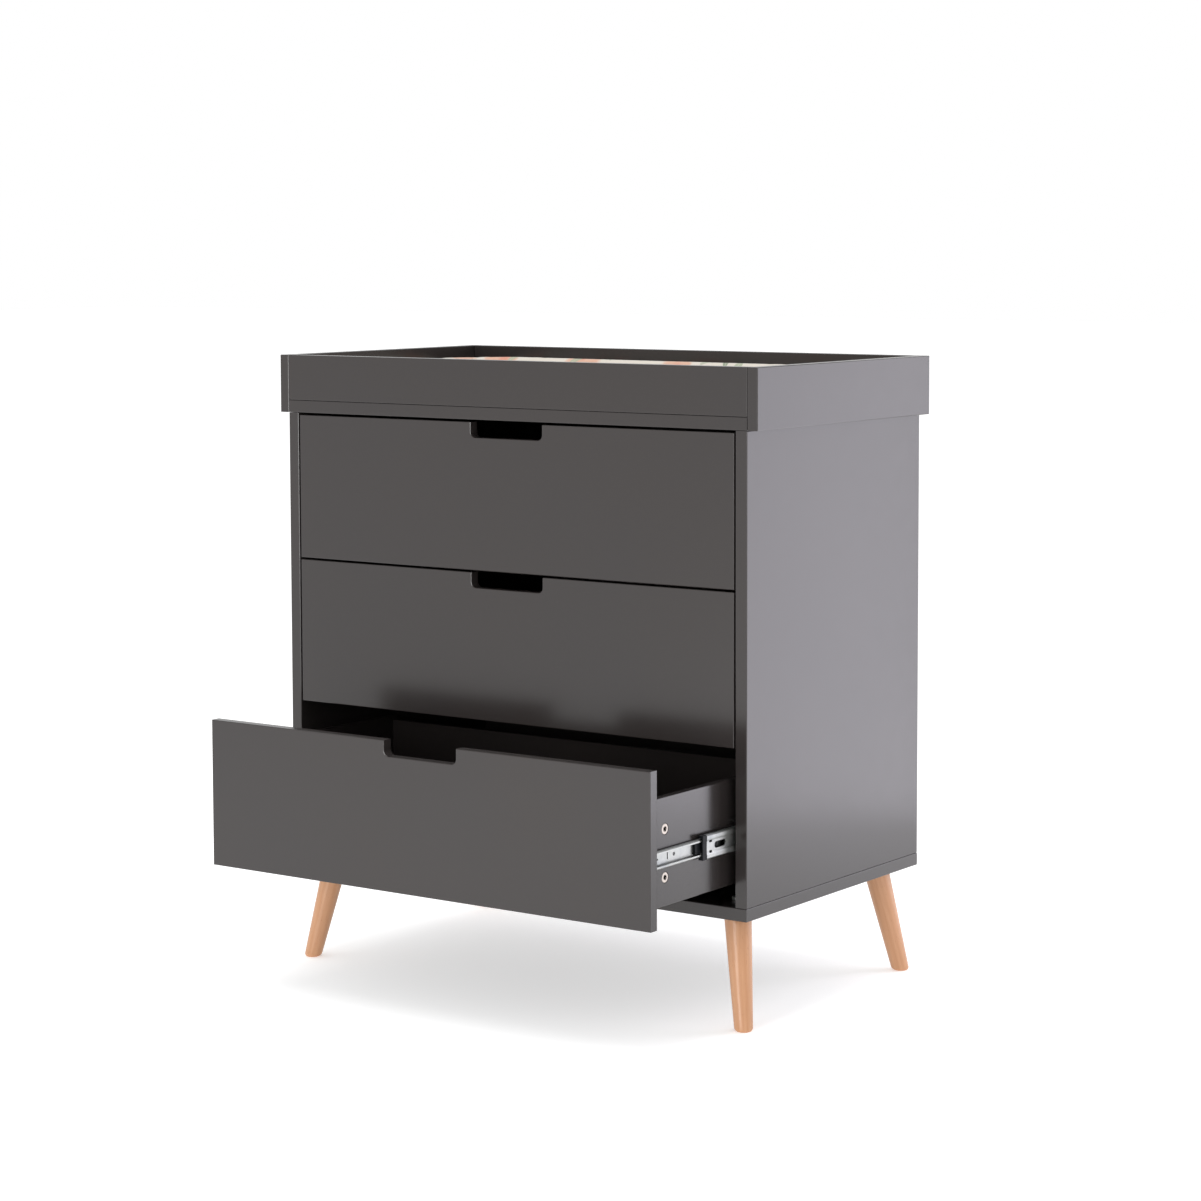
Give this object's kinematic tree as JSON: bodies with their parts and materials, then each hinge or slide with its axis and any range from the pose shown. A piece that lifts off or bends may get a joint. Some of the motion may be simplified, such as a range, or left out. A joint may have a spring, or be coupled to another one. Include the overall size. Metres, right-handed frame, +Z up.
{
  "type": "changing table",
  "caption": "Free-standing changing table: a drawer cabinet on splayed round legs, with finger-notched fronts on ball-bearing runners and a raised top tray holding a contoured mat.",
  "frame": {"origin": "on the floor, under the middle of the footprint of the whole table with its lower drawer pulled out 198 mm, 132 mm behind the plane of the cabinet's front edges", "axes": "+X to the right of somebody facing the drawers, +Y towards the wall, so drawers open along -Y, +Z up"},
  "size_m": [0.8326, 0.66, 0.9],
  "materials": {
    "painted_board": "warm dark grey paint on board, satin",
    "beech": "clear-lacquered beech, satin",
    "zinc_steel": "bright zinc-plated",
    "black_plastic": "moulded, slightly glossy",
    "mat_cover": "wipe-clean printed cover, soft sheen"
  },
  "bodies": {
    "cabinet": {"cabinet_side_left": "painted_board", "cabinet_side_right": "painted_board", "cabinet_top": "painted_board", "cabinet_base": "painted_board", "cabinet_back": "painted_board", "tray_side_left": "painted_board", "tray_side_right": "painted_board", "tray_front": "painted_board", "tray_back": "painted_board", "leg_front_left": "beech", "leg_bolt_front_left": "zinc_steel", "leg_front_right": "beech", "leg_bolt_front_right": "zinc_steel", "leg_back_left": "beech", "leg_bolt_back_left": "zinc_steel", "leg_back_right": "beech", "leg_bolt_back_right": "zinc_steel", "lower_runner_left_outer_member": "zinc_steel", "lower_runner_right_outer_member": "zinc_steel", "middle_runner_left_outer_member": "zinc_steel", "middle_runner_right_outer_member": "zinc_steel", "upper_runner_left_outer_member": "zinc_steel", "upper_runner_right_outer_member": "zinc_steel"},
    "lower_drawer": {"lower_drawer_front": "painted_board", "lower_drawer_side_left": "painted_board", "lower_drawer_side_right": "painted_board", "lower_drawer_back": "painted_board", "lower_drawer_bottom": "painted_board", "lower_runner_left_inner_member": "zinc_steel", "lower_runner_right_inner_member": "zinc_steel"},
    "lower_left_centre_member": {"lower_runner_left_centre_member": "zinc_steel"},
    "lower_left_release_lever": {"lower_runner_left_release_lever": "black_plastic"},
    "lower_right_centre_member": {"lower_runner_right_centre_member": "zinc_steel"},
    "lower_right_release_lever": {"lower_runner_right_release_lever": "black_plastic"},
    "middle_drawer": {"middle_drawer_front": "painted_board", "middle_drawer_side_left": "painted_board", "middle_drawer_side_right": "painted_board", "middle_drawer_back": "painted_board", "middle_drawer_bottom": "painted_board", "middle_runner_left_inner_member": "zinc_steel", "middle_runner_right_inner_member": "zinc_steel"},
    "middle_left_centre_member": {"middle_runner_left_centre_member": "zinc_steel"},
    "middle_left_release_lever": {"middle_runner_left_release_lever": "black_plastic"},
    "middle_right_centre_member": {"middle_runner_right_centre_member": "zinc_steel"},
    "middle_right_release_lever": {"middle_runner_right_release_lever": "black_plastic"},
    "upper_drawer": {"upper_drawer_front": "painted_board", "upper_drawer_side_left": "painted_board", "upper_drawer_side_right": "painted_board", "upper_drawer_back": "painted_board", "upper_drawer_bottom": "painted_board", "upper_runner_left_inner_member": "zinc_steel", "upper_runner_right_inner_member": "zinc_steel"},
    "upper_left_centre_member": {"upper_runner_left_centre_member": "zinc_steel"},
    "upper_left_release_lever": {"upper_runner_left_release_lever": "black_plastic"},
    "upper_right_centre_member": {"upper_runner_right_centre_member": "zinc_steel"},
    "upper_right_release_lever": {"upper_runner_right_release_lever": "black_plastic"},
    "mat": {"changing_mat": "mat_cover"}
  },
  "joints": [
    {"name": "lower_drawer_slide", "type": "slide", "parent": "cabinet", "child": "lower_drawer", "axis": [0, -1, 0], "range_m": [-0.198, 0.152]},
    {"name": "lower_left_centre_slide", "type": "slide", "parent": "cabinet", "child": "lower_left_centre_member", "axis": [0, -1, 0], "range_m": [-0.099, 0.076]},
    {"name": "lower_left_lever_press", "type": "hinge", "parent": "lower_drawer", "child": "lower_left_release_lever", "pos_m": [-0.3729, -0.173, 0.266], "axis": [-1, 0, 0], "range_deg": [0, 3.5], "stiffness_Nm_per_rad": 0.25},
    {"name": "lower_right_centre_slide", "type": "slide", "parent": "cabinet", "child": "lower_right_centre_member", "axis": [0, -1, 0], "range_m": [-0.099, 0.076]},
    {"name": "lower_right_lever_press", "type": "hinge", "parent": "lower_drawer", "child": "lower_right_release_lever", "pos_m": [0.3729, -0.173, 0.266], "axis": [1, 0, 0], "range_deg": [0, 3.5], "stiffness_Nm_per_rad": 0.25},
    {"name": "middle_drawer_slide", "type": "slide", "parent": "cabinet", "child": "middle_drawer", "axis": [0, -1, 0], "range_m": [0, 0.35]},
    {"name": "middle_left_centre_slide", "type": "slide", "parent": "cabinet", "child": "middle_left_centre_member", "axis": [0, -1, 0], "range_m": [0, 0.175]},
    {"name": "middle_left_lever_press", "type": "hinge", "parent": "middle_drawer", "child": "middle_left_release_lever", "pos_m": [-0.3729, 0.025, 0.479], "axis": [-1, 0, 0], "range_deg": [0, 3.5], "stiffness_Nm_per_rad": 0.25},
    {"name": "middle_right_centre_slide", "type": "slide", "parent": "cabinet", "child": "middle_right_centre_member", "axis": [0, -1, 0], "range_m": [0, 0.175]},
    {"name": "middle_right_lever_press", "type": "hinge", "parent": "middle_drawer", "child": "middle_right_release_lever", "pos_m": [0.3729, 0.025, 0.479], "axis": [1, 0, 0], "range_deg": [0, 3.5], "stiffness_Nm_per_rad": 0.25},
    {"name": "upper_drawer_slide", "type": "slide", "parent": "cabinet", "child": "upper_drawer", "axis": [0, -1, 0], "range_m": [0, 0.35]},
    {"name": "upper_left_centre_slide", "type": "slide", "parent": "cabinet", "child": "upper_left_centre_member", "axis": [0, -1, 0], "range_m": [0, 0.175]},
    {"name": "upper_left_lever_press", "type": "hinge", "parent": "upper_drawer", "child": "upper_left_release_lever", "pos_m": [-0.3729, 0.025, 0.692], "axis": [-1, 0, 0], "range_deg": [0, 3.5], "stiffness_Nm_per_rad": 0.25},
    {"name": "upper_right_centre_slide", "type": "slide", "parent": "cabinet", "child": "upper_right_centre_member", "axis": [0, -1, 0], "range_m": [0, 0.175]},
    {"name": "upper_right_lever_press", "type": "hinge", "parent": "upper_drawer", "child": "upper_right_release_lever", "pos_m": [0.3729, 0.025, 0.692], "axis": [1, 0, 0], "range_deg": [0, 3.5], "stiffness_Nm_per_rad": 0.25},
    {"name": "mat_lift", "type": "slide", "parent": "cabinet", "child": "mat", "axis": [0, 0, 1], "range_m": [0, 0.15]}
  ],
  "couplings": [
    {"joint": "lower_left_centre_slide", "follows": "lower_drawer_slide", "ratio": 0.5},
    {"joint": "lower_right_centre_slide", "follows": "lower_drawer_slide", "ratio": 0.5},
    {"joint": "middle_left_centre_slide", "follows": "middle_drawer_slide", "ratio": 0.5},
    {"joint": "middle_right_centre_slide", "follows": "middle_drawer_slide", "ratio": 0.5},
    {"joint": "upper_left_centre_slide", "follows": "upper_drawer_slide", "ratio": 0.5},
    {"joint": "upper_right_centre_slide", "follows": "upper_drawer_slide", "ratio": 0.5}
  ]
}
